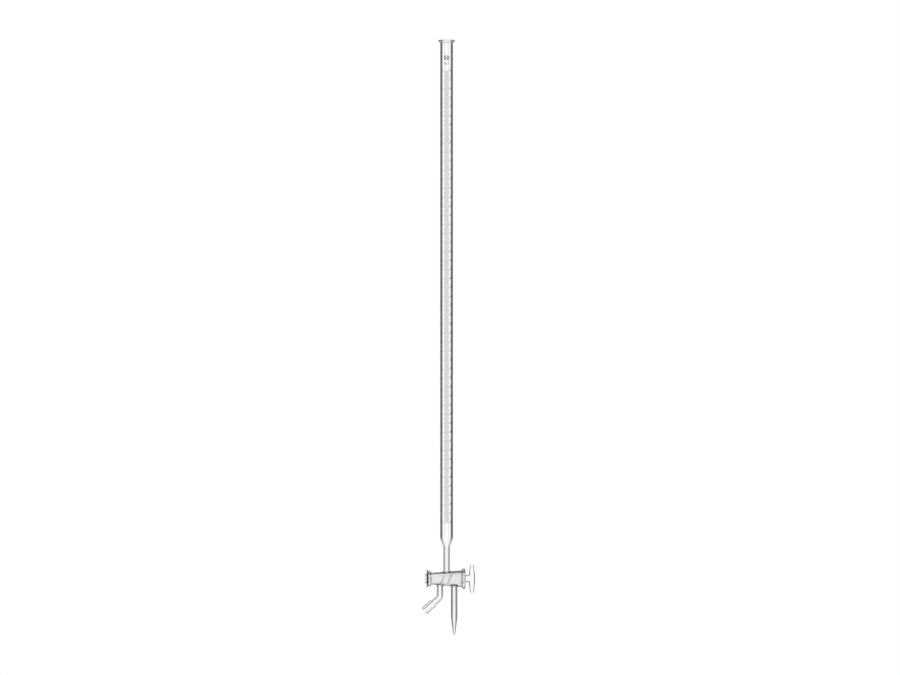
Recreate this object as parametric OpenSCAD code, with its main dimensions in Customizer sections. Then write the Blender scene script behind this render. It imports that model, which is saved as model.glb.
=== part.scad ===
// Glass burette with a three-way stopcock, a filling arm with a hose nozzle and a drawn jet.
// Z runs up the tube's axis, X runs along the stopcock's key towards its handle,
// and the scale faces -Y. The origin is on the tube's axis at the middle graduation,
// where a burette clamp grips the tube. Lengths are in millimetres.

/* [Scale] */
// Volume between the first and the last graduation, in millilitres
capacity_ml = 50; // [10:2:60]
// Height of one graduation line
line_h = 0.3; // [0.2:0.05:0.4]
// Thickness of the fired enamel
enamel_t = 0.1; // [0.08:0.02:0.2]
// Arc of the whole millilitre lines round the tube, in degrees
whole_line_arc = 98; // [80:2:120]
// Arc of the half millilitre lines, in degrees
half_line_arc = 52; // [44:2:60]
// Arc of the tenth millilitre lines, in degrees
tenth_line_arc = 33; // [20:1:40]
// Height of a number on the scale
numeral_h = 2.4; // [1.8:0.1:3]
// Width of a digit on the scale
numeral_w = 1.5; // [1.2:0.1:1.8]
// Height of a digit of the capacity mark above the scale
capacity_mark_h = 4.7; // [3.6:0.1:5.5]

/* [Tube] */
// Bore of the graduated tube, which sets the pitch of the scale
bore_d = 11.1; // [10:0.1:12.5]
// Wall of the graduated tube, the shoulder and the tubing below it
tube_wall = 1.7; // [1.3:0.1:2]
// Top of the rim above the zero line
rim_above_zero = 35.8; // [28:0.2:60]
// Height of the rim's bead
rim_h = 3.2; // [2.4:0.1:4.5]
// How far the rim's bead stands out from the tube
rim_proud = 2.15; // [1.2:0.05:3.5]
// Last graduation line down to the start of the shoulder
scale_foot = 15.7; // [8:0.1:40]
// Height of the shoulder's cone
shoulder_cone_h = 9.4; // [7:0.1:16]

/* [Tubing] */
// Bore of the inlet stem and the filling arm
stem_bore = 3.8; // [3:0.1:4.4]
// End of the shoulder down to the key's axis
stem_drop = 35.1; // [20:0.1:50]
// Bore of the outlet stem
outlet_bore = 3.1; // [2:0.1:3.6]
// Wall of the outlet stem
outlet_wall = 2.05; // [1.5:0.05:2.3]
// Key's axis down to the start of the jet
outlet_drop = 43.85; // [25:0.05:60]
// Radius of the melted glass where a stem joins the barrel
weld_r = 1.6; // [1:0.1:2]

/* [Jet] */
// Length of the drawn jet
jet_len = 20; // [12:0.5:30]
// Outside of the jet at its end
jet_d = 2.3; // [1.8:0.1:3]
// Bore of the jet at its end
jet_bore = 0.8; // [0.5:0.05:1.2]

/* [Filling arm] */
// Key's axis down to the corner of the arm's bend
arm_drop = 21.3; // [19:0.1:30]
// Turn of the bend, in degrees
arm_turn = 49; // [30:1:60]
// Radius of the bend at the middle of the tubing
arm_bend_r = 6.5; // [5:0.1:9]
// Corner of the bend to the hose nozzle
arm_reach = 10.4; // [9:0.1:20]
// Largest width of each barb on the hose nozzle
barb_d = 10.15; // [9.2:0.05:12]
// Width of a barb at its narrow end
barb_end_d = 8.3; // [7.8:0.05:9]
// Length of one barb
barb_len = 6.85; // [5:0.05:9]
// Number of barbs
barb_count = 2; // [1:1:3]
// Length of the straight land at the wide end of a barb
barb_land = 0.6; // [0.3:0.1:1]

/* [Stopcock barrel] */
// Length of the barrel between its beads
barrel_len = 35; // [33:0.5:42]
// Bore of the ground socket at the outer face of the tail bead
socket_small_d = 10.8; // [10.4:0.1:12]
// Length over which the ground socket widens by one millimetre
taper_run = 10; // [9:0.5:12]
// Wall of the barrel beside the tail bead
barrel_tail_wall = 1.15; // [1:0.05:1.8]
// Wall of the barrel beside the handle bead
barrel_handle_wall = 2.2; // [1.8:0.05:2.6]
// Outside of the bead at the tail end
tail_bead_d = 17.6; // [16:0.1:20]
// Width of the bead at the tail end
tail_bead_w = 3.9; // [3:0.1:4.5]
// Outside of the bead at the handle end
handle_bead_d = 23.5; // [21:0.1:26]
// Width of the bead at the handle end
handle_bead_w = 4.05; // [3:0.05:5]
// Tail end of the barrel to the filling arm's axis
arm_inset = 9.9; // [9:0.05:10]
// Handle end of the barrel to the outlet stem's axis
outlet_inset = 8.85; // [8:0.05:9.9]

/* [Key] */
// Radial clearance of the ground key in its socket
key_clearance = 0.04; // [0.02:0.01:0.08]
// Width of the two oblique channels through the key
channel_d = 1.9; // [1.2:0.1:2.6]
// How far the cone stops short of the beads' outer faces
key_recess = 0.5; // [0.3:0.1:0.8]
// Width of the button behind the retaining disc
tail_button_d = 10.6; // [9.8:0.05:10.7]
// Thickness of that button
tail_button_t = 1.9; // [1.4:0.1:3]
// Width of the groove that holds the retaining disc
tail_groove_d = 8.4; // [7:0.1:9]
// Outside of the retaining disc
disc_d = 20.6; // [18:0.1:24]
// Thickness of the retaining disc
disc_t = 1.2; // [0.8:0.1:2]
// Gap between the disc and the bead that it bears on
disc_gap = 0.1; // [0.05:0.05:0.2]
// Width of the handle's shank
shank_d = 8; // [6:0.1:9]
// Handle bead's face to the near side of the tee bar
shank_len = 4; // [3:0.1:8]
// Length of the tee bar from tip to tip
tee_len = 31.8; // [24:0.2:40]
// Thickness of the tee bar in its middle
tee_mid_t = 7.05; // [5:0.05:9]
// Thickness of the tee bar at its tips
tee_tip_t = 4.2; // [3:0.1:5]
// Breadth of the tee bar in its middle
tee_mid_w = 8; // [6:0.1:10]
// Breadth of the tee bar at its tips
tee_tip_w = 6; // [4:0.1:6]

/* [Hidden] */
$fn = 64;

// Number of steps in a rounded corner of an outline
corner_steps = 6;
// Overrun of every cut past the face that it opens
cut = 1;
// Gap under a curved face that is melted onto another, and under the enamel
seam = 0.01;

// Tube
// Side of a cube that holds one millilitre
ml_side = 10;
ml_pitch = ml_side * ml_side * ml_side / (PI / 4 * bore_d * bore_d);
divisions = 10;
zero_z = capacity_ml * ml_pitch / 2;
bore_r = bore_d / 2;
tube_r = bore_r + tube_wall;
rim_top_z = zero_z + rim_above_zero;
rim_r = tube_r + rim_proud;
shoulder_top_z = -zero_z - scale_foot;
// Straight runs above and below the shoulder's cone, and the radii of its bends
shoulder_lead = 2.1;
shoulder_tail = 1.5;
shoulder_upper_r = 11;
shoulder_lower_r = 7.9;
shoulder_h = shoulder_lead + shoulder_cone_h + shoulder_tail;
stem_top_z = shoulder_top_z - shoulder_h;
stem_r = stem_bore / 2 + tube_wall;
outlet_r = outlet_bore / 2 + outlet_wall;
key_z = stem_top_z - stem_drop;
jet_top_z = key_z - outlet_drop;

// Stopcock: places along the key, from the tail at the left to the handle at the right
barrel_left = -barrel_len / 2;
barrel_right = barrel_len / 2;
arm_x = barrel_left + arm_inset;
outlet_x = barrel_right - outlet_inset;
tail_face = barrel_left - tail_bead_w;
handle_face = barrel_right + handle_bead_w;
cone_left = tail_face + key_recess;
cone_right = handle_face - key_recess;
disc_right = tail_face - disc_gap;
disc_left = disc_right - disc_t;
// Gap between the disc and the key's tail, which it is pressed onto
disc_seat = 0.05;
tee_near = handle_face + shank_len;
tee_far = tee_near + tee_mid_t;
tee_half = tee_len / 2;
button_round = 0.5;
disc_round = 0.45;
tee_tip_round = 1.2;
// Share of the tee bar's loss of thickness towards its tips that is on its near side, and the corners of
// the tips as a share of their breadth
tee_near_share = 0.45;
tee_corner_share = 0.33;

// Radius of the ground socket, of the key's cone and of the barrel's outside at a place along the key
function socket_r(x) = socket_small_d / 2 + (x - tail_face) / (2 * taper_run);
function cone_r(x) = socket_r(x) - key_clearance;
barrel_tail_r = socket_r(barrel_left) + barrel_tail_wall;
barrel_handle_r = socket_r(barrel_right) + barrel_handle_wall;
function barrel_r(x) = barrel_tail_r + (barrel_handle_r - barrel_tail_r) * (x - barrel_left) / barrel_len;

// Filling arm: length of straight tubing that each side of the bend's corner loses to the bend
arm_tangent = arm_bend_r * tan(arm_turn / 2);
arm_straight = arm_drop - arm_tangent;
// How much wider the bend is than the tubing on its two sides, and how far they run into it
bend_swell = 0.02;
bend_lap = 0.3;
nozzle_len = barb_count * barb_len;

// Scale
mark_r = tube_r + seam;
numeral_stroke = 0.26;
numeral_gap = 0.35;
// Angle round the tube at which the numbers start, to the right of the scale's middle
numeral_start = 30;
capacity_stroke = 0.8;
capacity_w = 2.9;
capacity_gap = 0.7;
// Zero line up to the foot of the capacity mark
capacity_rise = 12.9;

function unit(v) = v / norm(v);
function turn(a, b) = (b - a + 540) % 360 - 180;

// The corner at b between the lines from a and to c, rounded to a radius
function round_corner(a, b, c, r) =
    let (u = unit(a - b), v = unit(c - b), half = acos(u * v) / 2)
    let (centre = b + unit(u + v) * r / sin(half), run = r / tan(half))
    let (p = b + u * run - centre, q = b + v * run - centre)
    let (start = atan2(p.y, p.x), sweep = turn(start, atan2(q.y, q.x)))
    [for (k = [0:corner_steps]) let (w = start + sweep * k / corner_steps) centre + r * [cos(w), sin(w)]];

// An open line of points whose corners are rounded; a radius of 0 keeps a corner sharp
function round_line(pts, radii) =
    [for (i = [0:len(pts) - 1])
        each (radii[i] == 0 ? [pts[i]] : round_corner(pts[i - 1], pts[i], pts[i + 1], radii[i]))];

// The same for a closed outline
function round_loop(pts, radii) =
    let (n = len(pts))
    [for (i = [0:n - 1])
        each (radii[i] == 0 ? [pts[i]]
            : round_corner(pts[(i + n - 1) % n], pts[i], pts[(i + 1) % n], radii[i]))];

// Carries a shape that stands on Z over to the key's axis, which points along +X
module along_key() {
    translate([0, 0, key_z]) rotate([0, 90, 0]) children();
}

// A cone on the key's axis between two places, by its radius at each
module key_frustum(x1, r1, x2, r2) {
    along_key() translate([0, 0, x1]) cylinder(h = x2 - x1, r1 = r1, r2 = r2);
}

// The socket's ground cone, run on past both beads
module socket_cut() {
    key_frustum(tail_face - cut, socket_r(tail_face - cut), handle_face + cut, socket_r(handle_face + cut));
}

// The barrel's outer cone as a solid, grown by the seam that melted glass keeps from it
module barrel_outside(grow) {
    key_frustum(barrel_left, barrel_r(barrel_left) + grow, barrel_right, barrel_r(barrel_right) + grow);
}

// A half round bead round the key's axis, from one place to another
module key_bead(x1, x2, r) {
    w = x2 - x1;
    difference() {
        along_key() translate([0, 0, x1]) rotate_extrude() bead_section(r, w);
        socket_cut();
    }
}

// Half of a disc's section with a rounded edge as high as the disc
module bead_section(r, w) {
    square([r - w / 2, w]);
    translate([r - w / 2, w / 2]) circle(d = w);
}

// The outside of tubing that stands on the barrel, with a flared foot of melted glass.
// It runs from the key's axis up, or down where up is -1, over a length
module stem_outside(x, length, r, up) {
    foot = barrel_r(x);
    flare = round_line([[r, length], [r, foot], [r + 2 * weld_r, foot]], [0, weld_r, 0]);
    outline = concat([[0, 0], [0, length]], [for (i = [0:len(flare) - 2]) flare[i]], [[r + weld_r, 0]]);
    translate([x, 0, key_z]) mirror([0, 0, up > 0 ? 0 : 1]) rotate_extrude() polygon(outline);
}

// Straight tubing from the barrel to a height
module stem(x, z_end, bore, r, up) {
    length = abs(z_end - key_z);
    difference() {
        stem_outside(x, length, r, up);
        translate([x, 0, min(z_end, key_z) - cut]) cylinder(h = length + 2 * cut, d = bore);
        barrel_outside(seam);
    }
}

module rim_bead() {
    color([0.86, 0.93, 0.94, 0.5])
        difference() {
            translate([0, 0, rim_top_z - rim_h]) rotate_extrude() bead_section(rim_r, rim_h);
            translate([0, 0, rim_top_z - rim_h - cut]) cylinder(h = rim_h + 2 * cut, d = bore_d);
        }
}

module graduated_tube() {
    length = rim_top_z - rim_h - shoulder_top_z;
    color([0.86, 0.93, 0.94, 0.35])
        translate([0, 0, shoulder_top_z])
            difference() {
                cylinder(h = length, r = tube_r);
                translate([0, 0, -cut]) cylinder(h = length + 2 * cut, d = bore_d);
            }
}

// The shoulder's wall is as thick as the tube's, so the inner corners lie higher by this much
module tube_shoulder() {
    lean = atan((tube_r - stem_r) / shoulder_cone_h);
    rise = tube_wall * tan(lean / 2);
    upper = shoulder_h - shoulder_lead;
    outside = round_line(
        [[tube_r, shoulder_h], [tube_r, upper], [stem_r, shoulder_tail], [stem_r, 0]],
        [0, shoulder_upper_r, shoulder_lower_r, 0]);
    neck_r = stem_bore / 2;
    inside = round_line(
        [[bore_r, shoulder_h], [bore_r, upper + rise], [neck_r, shoulder_tail + rise], [neck_r, 0]],
        [0, shoulder_upper_r - tube_wall, shoulder_lower_r + tube_wall, 0]);
    color([0.86, 0.93, 0.94, 0.45])
        translate([0, 0, stem_top_z]) rotate_extrude()
            polygon(concat(outside, [for (i = [len(inside) - 1:-1:0]) inside[i]]));
}

module inlet_stem() {
    color([0.86, 0.93, 0.94, 0.5]) stem(0, stem_top_z, stem_bore, stem_r, 1);
}

module stopcock_barrel() {
    color([0.84, 0.87, 0.9, 0.5])
        difference() {
            barrel_outside(0);
            socket_cut();
            translate([0, 0, key_z]) cylinder(h = barrel_handle_r + cut, d = stem_bore);
            translate([arm_x, 0, key_z - barrel_handle_r - cut])
                cylinder(h = barrel_handle_r + cut, d = stem_bore);
            translate([outlet_x, 0, key_z - barrel_handle_r - cut])
                cylinder(h = barrel_handle_r + cut, d = outlet_bore);
        }
}

module handle_end_bead() {
    color([0.86, 0.93, 0.94, 0.5]) key_bead(barrel_right, handle_face, handle_bead_d / 2);
}

module tail_end_bead() {
    color([0.86, 0.93, 0.94, 0.5]) key_bead(tail_face, barrel_left, tail_bead_d / 2);
}

// The arm's bend and the straight tubing after it, of one width. The bend is a hair wider,
// and the straight runs start inside it
module arm_bend(r, ends) {
    straight = arm_reach - arm_tangent + ends;
    translate([arm_x - arm_bend_r, 0, key_z - arm_straight]) {
        rotate([-90, 0, 0]) rotate_extrude(angle = arm_turn)
            translate([arm_bend_r, 0]) circle(r = r + bend_swell);
        rotate([0, arm_turn, 0]) translate([arm_bend_r, 0, -straight])
            cylinder(h = straight + bend_lap, r = r);
    }
}

module filling_arm() {
    bore_r = stem_bore / 2;
    color([0.86, 0.93, 0.94, 0.5])
        difference() {
            union() {
                stem_outside(arm_x, arm_straight + bend_lap, stem_r, -1);
                arm_bend(stem_r, 0);
            }
            translate([arm_x, 0, key_z - arm_straight - bend_lap])
                cylinder(h = arm_straight + bend_lap, r = bore_r);
            arm_bend(bore_r, cut);
            barrel_outside(seam);
        }
}

// Carries a shape that stands on Z over to the nozzle: its foot on the arm's end, pointing away
module on_nozzle() {
    translate([arm_x, 0, key_z - arm_drop]) rotate([0, arm_turn, 0])
        translate([0, 0, -arm_reach]) mirror([0, 0, 1]) children();
}

module hose_nozzle() {
    barb = [[barb_d / 2, 0], [barb_d / 2, barb_land], [barb_end_d / 2, barb_len]];
    color([0.88, 0.92, 0.94, 0.6])
        on_nozzle() difference() {
            for (i = [0:barb_count - 1])
                translate([0, 0, i * barb_len]) rotate_extrude()
                    polygon(concat([[0, 0]], barb, [[0, barb_len]]));
            translate([0, 0, -cut]) cylinder(h = nozzle_len + 2 * cut, d = stem_bore);
        }
}

module outlet_stem() {
    color([0.86, 0.93, 0.94, 0.5]) stem(outlet_x, jet_top_z, outlet_bore, outlet_r, -1);
}

module jet_tip() {
    section = [[jet_bore / 2, 0], [jet_d / 2, 0], [outlet_r, jet_len], [outlet_bore / 2, jet_len]];
    color([0.86, 0.93, 0.94, 0.5])
        translate([outlet_x, 0, jet_top_z - jet_len]) rotate_extrude() polygon(section);
}

// A straight channel through the key between a place on its upper side and one on its lower side
module channel(x_top, x_bottom) {
    top = [x_top, cone_r(x_top)];
    bottom = [x_bottom, -cone_r(x_bottom)];
    run = top - bottom;
    translate([bottom.x, 0, key_z + bottom.y]) rotate([0, atan2(run.x, run.y), 0])
        translate([0, 0, -2 * cut]) cylinder(h = norm(run) + 4 * cut, d = channel_d);
}

// At rest one channel joins the tube to the filling arm. A half turn on, the other joins it to the jet
module key_cone() {
    color([0.78, 0.81, 0.84])
        difference() {
            key_frustum(cone_left, cone_r(cone_left), cone_right, cone_r(cone_right));
            channel(0, arm_x);
            channel(outlet_x, 0);
        }
}

// The tee bar's outline from the side, and its outline along the key
module tee_side() {
    tip_near = tee_near + (tee_mid_t - tee_tip_t) * tee_near_share;
    tip_far = tip_near + tee_tip_t;
    middle = [[tee_near, shank_d / 2], [tip_near, tee_half], [tip_far, tee_half], [tee_far, 0]];
    lower = [[tip_far, -tee_half], [tip_near, -tee_half], [tee_near, -shank_d / 2]];
    polygon(round_loop(concat(middle, lower),
        [0, tee_tip_round, tee_tip_round, 0, tee_tip_round, tee_tip_round, 0]));
}

module tee_end() {
    corner = tee_tip_w * tee_corner_share;
    polygon(round_loop(
        [[-tee_tip_w / 2, tee_half], [tee_tip_w / 2, tee_half], [tee_mid_w / 2, 0],
            [tee_tip_w / 2, -tee_half], [-tee_tip_w / 2, -tee_half], [-tee_mid_w / 2, 0]],
        [corner, corner, 0, corner, corner, 0]));
}

module key_handle() {
    color([0.86, 0.93, 0.94, 0.6]) {
        key_frustum(cone_right, shank_d / 2, tee_near + cut, shank_d / 2);
        translate([0, 0, key_z]) intersection() {
            rotate([90, 0, 0]) translate([0, 0, -tee_mid_w / 2]) linear_extrude(tee_mid_w) tee_side();
            translate([tee_near - cut, 0, 0]) rotate([90, 0, 90])
                linear_extrude(tee_mid_t + 2 * cut) tee_end();
        }
    }
}

module key_tail() {
    button_r = tail_button_d / 2;
    groove_len = cone_left - disc_left + disc_seat;
    section = round_line(
        [[0, 0], [button_r, 0], [button_r, tail_button_t], [0, tail_button_t]],
        [0, button_round, button_round, 0]);
    color([0.86, 0.93, 0.94, 0.6])
        along_key() {
            translate([0, 0, cone_left - groove_len]) cylinder(h = groove_len, d = tail_groove_d);
            translate([0, 0, cone_left - groove_len - tail_button_t]) rotate_extrude() polygon(section);
        }
}

module retaining_disc() {
    inner = tail_groove_d / 2 + disc_seat;
    outer = disc_d / 2;
    color([0.16, 0.16, 0.17])
        along_key() translate([0, 0, disc_left]) rotate_extrude()
            polygon(round_loop(
                [[inner, 0], [outer, 0], [outer, disc_t], [inner, disc_t]], [0, disc_round, disc_round, 0]));
}

// A band of enamel on the tube between two angles and two heights. A cutter runs past both its faces
module band(a1, a2, z1, z2, past = 0) {
    rotate([0, 0, a1 - 90]) translate([0, 0, z1]) rotate_extrude(angle = a2 - a1)
        translate([mark_r - past, 0]) square([enamel_t + 2 * past, z2 - z1]);
}

module lines(arc, which) {
    color([0.25, 0.25, 0.27])
        for (i = which)
            let (z = zero_z - i * ml_pitch / divisions)
                band(-arc / 2, arc / 2, z - line_h / 2, z + line_h / 2);
}

module whole_ml_lines() {
    lines(whole_line_arc, [0:divisions:capacity_ml * divisions]);
}

module half_ml_lines() {
    lines(half_line_arc, [divisions / 2:divisions:capacity_ml * divisions]);
}

module tenth_ml_lines() {
    lines(tenth_line_arc, [for (i = [1:capacity_ml * divisions]) if (i % (divisions / 2) != 0) i]);
}

// The windows that leave each digit standing in a block. Sides run from 0, past the left edge, over 1 and 2,
// inside the left and the right stroke, to 3, past the right edge. Levels run from 0, past the foot, over
// 1 to 4, the faces of the three bars inwards from the foot, to 5, past the top
DIGITS = [
    [[1, 2, 1, 4]],
    [[0, 2, 0, 5]],
    [[0, 2, 3, 4], [1, 3, 1, 2]],
    [[0, 2, 3, 4], [0, 2, 1, 2]],
    [[1, 2, 3, 5], [0, 2, 0, 2]],
    [[1, 3, 3, 4], [0, 2, 1, 2]],
    [[1, 3, 3, 4], [1, 2, 1, 2]],
    [[0, 2, 0, 4]],
    [[1, 2, 3, 4], [1, 2, 1, 2]],
    [[1, 2, 3, 4], [0, 2, 1, 2]]];

// A digit of plain strokes, its left edge at an angle round the tube and its foot at a height
module digit(value, left, foot, w, h, stroke) {
    deg = 180 / (PI * mark_r);
    sides = [-stroke, stroke, w - stroke, w + stroke];
    levels = [-stroke, stroke, (h - stroke) / 2, (h + stroke) / 2, h - stroke, h + stroke];
    difference() {
        band(left, left + w * deg, foot, foot + h);
        for (v = DIGITS[value])
            band(left + sides[v[0]] * deg, left + sides[v[1]] * deg, foot + levels[v[2]], foot + levels[v[3]],
                enamel_t);
    }
}

// A number of one or two digits
module number(value, left, foot, w, h, stroke, gap) {
    deg = 180 / (PI * mark_r);
    tens = floor(value / 10);
    if (tens > 0) digit(tens, left, foot, w, h, stroke);
    digit(value % 10, left + (tens > 0 ? (w + gap) * deg : 0), foot, w, h, stroke);
}

module scale_numbers() {
    color([0.25, 0.25, 0.27])
        for (i = [0:capacity_ml])
            number(i, numeral_start, zero_z - i * ml_pitch + line_h, numeral_w, numeral_h,
                numeral_stroke, numeral_gap);
}

module capacity_mark() {
    deg = 180 / (PI * mark_r);
    color([0.1, 0.1, 0.11])
        number(capacity_ml, -(capacity_w + capacity_gap / 2) * deg, zero_z + capacity_rise,
            capacity_w, capacity_mark_h, capacity_stroke, capacity_gap);
}

rim_bead();
graduated_tube();
tube_shoulder();
inlet_stem();
stopcock_barrel();
handle_end_bead();
tail_end_bead();
filling_arm();
hose_nozzle();
outlet_stem();
jet_tip();
key_cone();
key_handle();
key_tail();
retaining_disc();
whole_ml_lines();
half_ml_lines();
tenth_ml_lines();
scale_numbers();
capacity_mark();
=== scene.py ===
"""Looks of the glass burette: clear and ground glass, a rubber disc and an enamel scale, on a pale stage."""

import math

import bmesh
import bpy
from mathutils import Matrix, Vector


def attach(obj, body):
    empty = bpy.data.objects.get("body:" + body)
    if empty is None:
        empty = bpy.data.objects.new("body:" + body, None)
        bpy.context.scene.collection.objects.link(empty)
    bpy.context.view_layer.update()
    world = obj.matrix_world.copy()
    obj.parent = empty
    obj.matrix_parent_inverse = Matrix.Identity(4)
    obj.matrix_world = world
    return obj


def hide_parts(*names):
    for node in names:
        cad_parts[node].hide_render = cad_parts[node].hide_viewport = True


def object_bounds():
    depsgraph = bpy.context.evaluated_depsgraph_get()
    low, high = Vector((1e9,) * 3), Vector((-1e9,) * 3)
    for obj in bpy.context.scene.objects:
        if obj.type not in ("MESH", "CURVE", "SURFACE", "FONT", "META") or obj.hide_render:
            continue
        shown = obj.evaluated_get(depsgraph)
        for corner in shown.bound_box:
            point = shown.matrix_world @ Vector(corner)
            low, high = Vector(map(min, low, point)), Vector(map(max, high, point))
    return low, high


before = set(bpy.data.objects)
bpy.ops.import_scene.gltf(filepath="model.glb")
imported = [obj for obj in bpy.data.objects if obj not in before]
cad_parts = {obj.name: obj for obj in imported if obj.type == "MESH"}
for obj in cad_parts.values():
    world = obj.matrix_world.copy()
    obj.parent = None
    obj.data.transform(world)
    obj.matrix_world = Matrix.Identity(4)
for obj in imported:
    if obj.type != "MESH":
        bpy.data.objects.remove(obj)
cad_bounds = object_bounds()

# Sizes of the glass in millimetres, and counts, as the CAD part has them
MM = 0.001
BORE_R = 5.55
WALL = 1.7
RIM_H = 3.2
RIM_PROUD = 2.15
CAPACITY_ML = 50
ML_SIDE = 10
TENTHS = 10
RIM_ABOVE_ZERO = 35.8
SCALE_FOOT = 15.7
SHOULDER_LEAD = 2.1
SHOULDER_CONE_H = 9.4
SHOULDER_TAIL = 1.5
SHOULDER_UPPER_R = 11
SHOULDER_LOWER_R = 7.9
STEM_BORE_R = 1.9
STEM_DROP = 35.1
OUTLET_BORE_R = 1.55
OUTLET_R = 3.6
OUTLET_DROP = 43.85
JET_LEN = 20
JET_R = 1.15
JET_BORE_R = 0.4
ARM_DROP = 21.3
ARM_TURN = math.radians(49)
ARM_BEND_R = 6.5
ARM_REACH = 10.4
BARB_R = 5.075
BARB_END_R = 4.15
BARB_LEN = 6.85
BARB_LAND = 0.6
BARB_COUNT = 2
BARREL_LEN = 35
SOCKET_SMALL_R = 5.4
TAPER = 1 / 20
BARREL_TAIL_WALL = 1.15
BARREL_HANDLE_WALL = 2.2
TAIL_BEAD_R = 8.8
TAIL_BEAD_W = 3.9
HANDLE_BEAD_R = 11.75
HANDLE_BEAD_W = 4.05
ARM_INSET = 9.9
OUTLET_INSET = 8.85
KEY_CLEARANCE = 0.04
CHANNEL_R = 0.95
KEY_RECESS = 0.5
BUTTON_R = 5.3
BUTTON_T = 1.9
GROOVE_R = 4.2
DISC_R = 10.3
DISC_T = 1.2
DISC_GAP = 0.1
DISC_SEAT = 0.05
SHANK_R = 4
SHANK_LEN = 4
TEE_HALF = 15.9
TEE_MID_T = 7.05
TEE_TIP_T = 4.2
TEE_MID_W = 8
TEE_TIP_W = 6
TEE_NEAR_SHARE = 0.45
LINE_H = 0.3
ENAMEL_T = 0.1
SEAM = 0.01
WHOLE_ARC = 98
HALF_ARC = 52
TENTH_ARC = 33
NUMERAL_START = 30
NUMERAL_H = 2.4
NUMERAL_LIFT = 0.3
MARK_H = 4.7
MARK_RISE = 12.9

# Places that follow from these sizes
ML_PITCH = ML_SIDE ** 3 / (math.pi * BORE_R ** 2)
ZERO_Z = CAPACITY_ML * ML_PITCH / 2
TUBE_R = BORE_R + WALL
RIM_R = TUBE_R + RIM_PROUD
STEM_R = STEM_BORE_R + WALL
RIM_TOP = ZERO_Z + RIM_ABOVE_ZERO
CONE_TOP = -ZERO_Z - SCALE_FOOT - SHOULDER_LEAD
CONE_FOOT = CONE_TOP - SHOULDER_CONE_H
KEY_Z = CONE_FOOT - SHOULDER_TAIL - STEM_DROP
JET_TOP = KEY_Z - OUTLET_DROP
JET_END = JET_TOP - JET_LEN
BARREL_LEFT = -BARREL_LEN / 2
BARREL_RIGHT = BARREL_LEN / 2
TAIL_FACE = BARREL_LEFT - TAIL_BEAD_W
HANDLE_FACE = BARREL_RIGHT + HANDLE_BEAD_W
ARM_X = BARREL_LEFT + ARM_INSET
OUTLET_X = BARREL_RIGHT - OUTLET_INSET
ARM_TANGENT = ARM_BEND_R * math.tan(ARM_TURN / 2)
KEY_LEFT = TAIL_FACE + KEY_RECESS
KEY_RIGHT = HANDLE_FACE - KEY_RECESS
DISC_RIGHT = TAIL_FACE - DISC_GAP
DISC_LEFT = DISC_RIGHT - DISC_T
BUTTON_RIGHT = DISC_LEFT - DISC_SEAT
TEE_NEAR = HANDLE_FACE + SHANK_LEN
TEE_FAR = TEE_NEAR + TEE_MID_T
TEE_TIP_NEAR = TEE_NEAR + (TEE_MID_T - TEE_TIP_T) * TEE_NEAR_SHARE
NOZZLE = ARM_REACH - ARM_TANGENT
NOZZLE_END = NOZZLE + BARB_COUNT * BARB_LEN
MARK_R = TUBE_R + SEAM

# Fineness of the meshes. SAME_PLACE is in metres, and RUN_ON is how far a cutter goes past the glass.
SIDES = 128
CORNER_STEPS = 8
WELD_STEPS = 8
TEE_SECTIONS = 24
FINE = 1
CREASE = math.radians(34)
SAME_PLACE = 1e-7
RUN_ON = 2

# Softened edges and melted joints of the glass body
RIM_FULLNESS = 0.99
RIM_ROOT = 0.5
MOUTH_ROUND = 1.6
MOUTH_LIP = 0.03
BEAD_FULLNESS = 0.98
BEAD_TUCK = 0.015
TAIL_ROOT = 0.1
HANDLE_ROOT = 0.2
TAIL_FLARE = 0.6
TAIL_FLARE_ROUND = 0.55
HANDLE_FLARE = 0.8
HANDLE_FLARE_ROUND = 0.75
EDGE_ROUND = 0.15
JET_BEND_R = 6
WELD_RISE = 1.7
WELD_REACH = 1.7
WELD_TUCK = 0.06

# Softened edges and melted joints of the key, and the core of its shank inside the bar
BUTTON_FLAT_R = 1
BUTTON_ROUND = 0.6
KEY_ROUND = 0.3
GROOVE_ROUND = 0.2
SHANK_ROOT = 0.8
SHANK_BREADTH = 3.9
SHANK_REACH = 1.4
FLARE_LEAD = 0.3
CORE_SLIMMER = 1.5
CORE_SHORTER = 2
TEE_APEX = 2.5
TEE_SQUARENESS = 0.9
TEE_TIP_ROUND = 1.3
TEE_TIP_SHRINK = 0.35

# The disc's raised edge round its hole, its raised rim and the dish between them
HOLE_LAND = 1.3
RIM_LAND = 1.15
DISH_DEPTH = 0.15
DISH_SLOPE = 0.15
DISH_ROUND = 0.06
DISC_ROUND = 0.45

# Enamel: weight added to the strokes, the smallest division's mark, a digit's share of its letter size, and
# the steps in a stroke's outline and along a line, the latter in degrees
NUMERAL_GAIN = -0.02
MARK_GAIN = 0.12
DIVISION_GAIN = 0.02
DIVISION_H = 3.2
DIVISION_RISE = 7.2
DIGIT_SHARE = 0.682
OUTLINE_STEPS = 22
ARC_STEP = 4

# The ground joint: how near to its cone glass counts as ground, how far from the key's ends, and its grain
JOINT_BAND = 0.09
ZONE_INSET = 0.4
GROUND_GRAIN = 1800.0
FROST_GRAIN = 0.1

# The lines left by drawing the glass: how many to a metre on each axis, and their depth in metres
DRAWN_LINES = (500.0, 500.0, 25.0)
DRAWN_DEPTH = 0.0000015

WHITE, BLACK = (1, 1, 1, 1), (0, 0, 0, 1)

# The stage in metres, and how white the floor is to the camera
FLOOR_R = 6
FLOOR_SIDES = 96
FLOOR_GAP = 0.03
FLOOR_WHITE = 0.78
LAMP_SIZE = 1.2
LAMP_AIM = Vector((0, 0, -0.1))

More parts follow.
